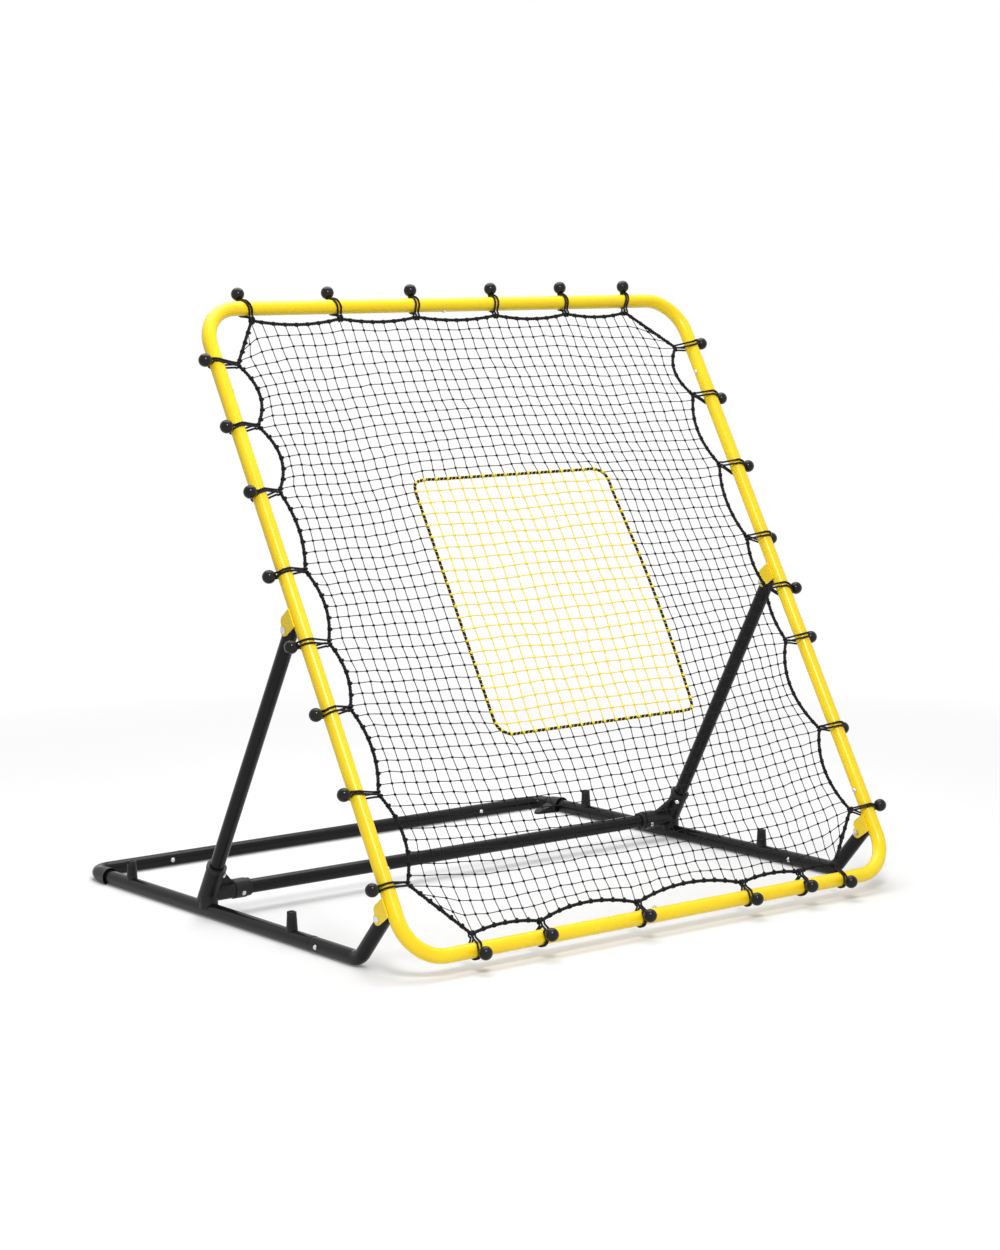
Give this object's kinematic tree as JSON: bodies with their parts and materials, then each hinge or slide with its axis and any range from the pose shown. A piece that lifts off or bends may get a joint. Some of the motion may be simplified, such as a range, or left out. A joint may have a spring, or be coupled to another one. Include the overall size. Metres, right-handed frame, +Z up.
{
  "type": "pitch back rebounder",
  "caption": "Leaning square net in a tubular frame with a strike zone, held on a floor base by a pegged prop frame.",
  "frame": {"origin": "centre of the whole object's box, on the floor", "axes": "+X to the player's right as they face the net, +Y to the rear, +Z up"},
  "size_m": [1.286, 1.1949, 1.2252],
  "materials": {
    "yellow_frame": "glossy yellow powder coat",
    "black_tube": "satin black powder coat",
    "black_plastic": "moulded, lightly grained",
    "zinc_steel": "bright zinc plated",
    "black_net": "knotted black twine",
    "black_rope": "fuzzy braided cord",
    "yellow_net": "knotted yellow twine",
    "elastic": "braided elastic cord",
    "ball": "polished"
  },
  "bodies": {
    "base": {"left_rail": "black_tube", "right_rail": "black_tube", "left_elbow": "black_tube", "right_elbow": "black_tube", "rear_bar": "black_tube", "left_rear_corner": "black_tube", "right_rear_corner": "black_tube", "left_collar": "black_plastic", "right_collar": "black_plastic", "front_pegs": "black_plastic", "middle_pegs": "black_plastic", "rear_pegs": "black_plastic", "base_screws": "zinc_steel"},
    "net_frame": {"bottom_left_corner": "yellow_frame", "bottom_right_corner": "yellow_frame", "top_left_corner": "yellow_frame", "top_right_corner": "yellow_frame", "left_side_tube": "yellow_frame", "right_side_tube": "yellow_frame", "frame_screws": "zinc_steel", "upper_left_bracket": "yellow_frame", "upper_right_bracket": "yellow_frame", "lower_left_bracket": "yellow_frame", "lower_right_bracket": "yellow_frame", "upper_hinge_bolts": "zinc_steel", "upper_hinge_nuts": "zinc_steel", "lower_hinge_bolts": "zinc_steel", "lower_hinge_nuts": "zinc_steel", "net_panel": "black_net", "border_rope": "black_rope", "strike_zone": "yellow_net", "zone_hem": "black_rope", "top_elastics": "elastic", "bottom_elastics": "elastic", "left_elastics": "elastic", "right_elastics": "elastic", "top_balls": "ball", "bottom_balls": "ball", "left_balls": "ball", "right_balls": "ball"},
    "prop": {"left_strut": "black_tube", "right_strut": "black_tube", "left_junction": "black_plastic", "right_junction": "black_plastic", "cross_bar": "black_tube", "prop_screws": "zinc_steel"}
  },
  "joints": [
    {"name": "net_tilt", "type": "hinge", "parent": "base", "child": "net_frame", "pos_m": [0, -0.47541, 0.10414], "axis": [1, 0, 0], "range_deg": [0, 13.5]},
    {"name": "prop_swing", "type": "hinge", "parent": "net_frame", "child": "prop", "pos_m": [0, -0.19141, 0.59604], "axis": [1, 0, 0], "range_deg": [-13.5, 0]}
  ],
  "couplings": [
    {"joint": "prop_swing", "follows": "net_tilt", "ratio": -1}
  ]
}
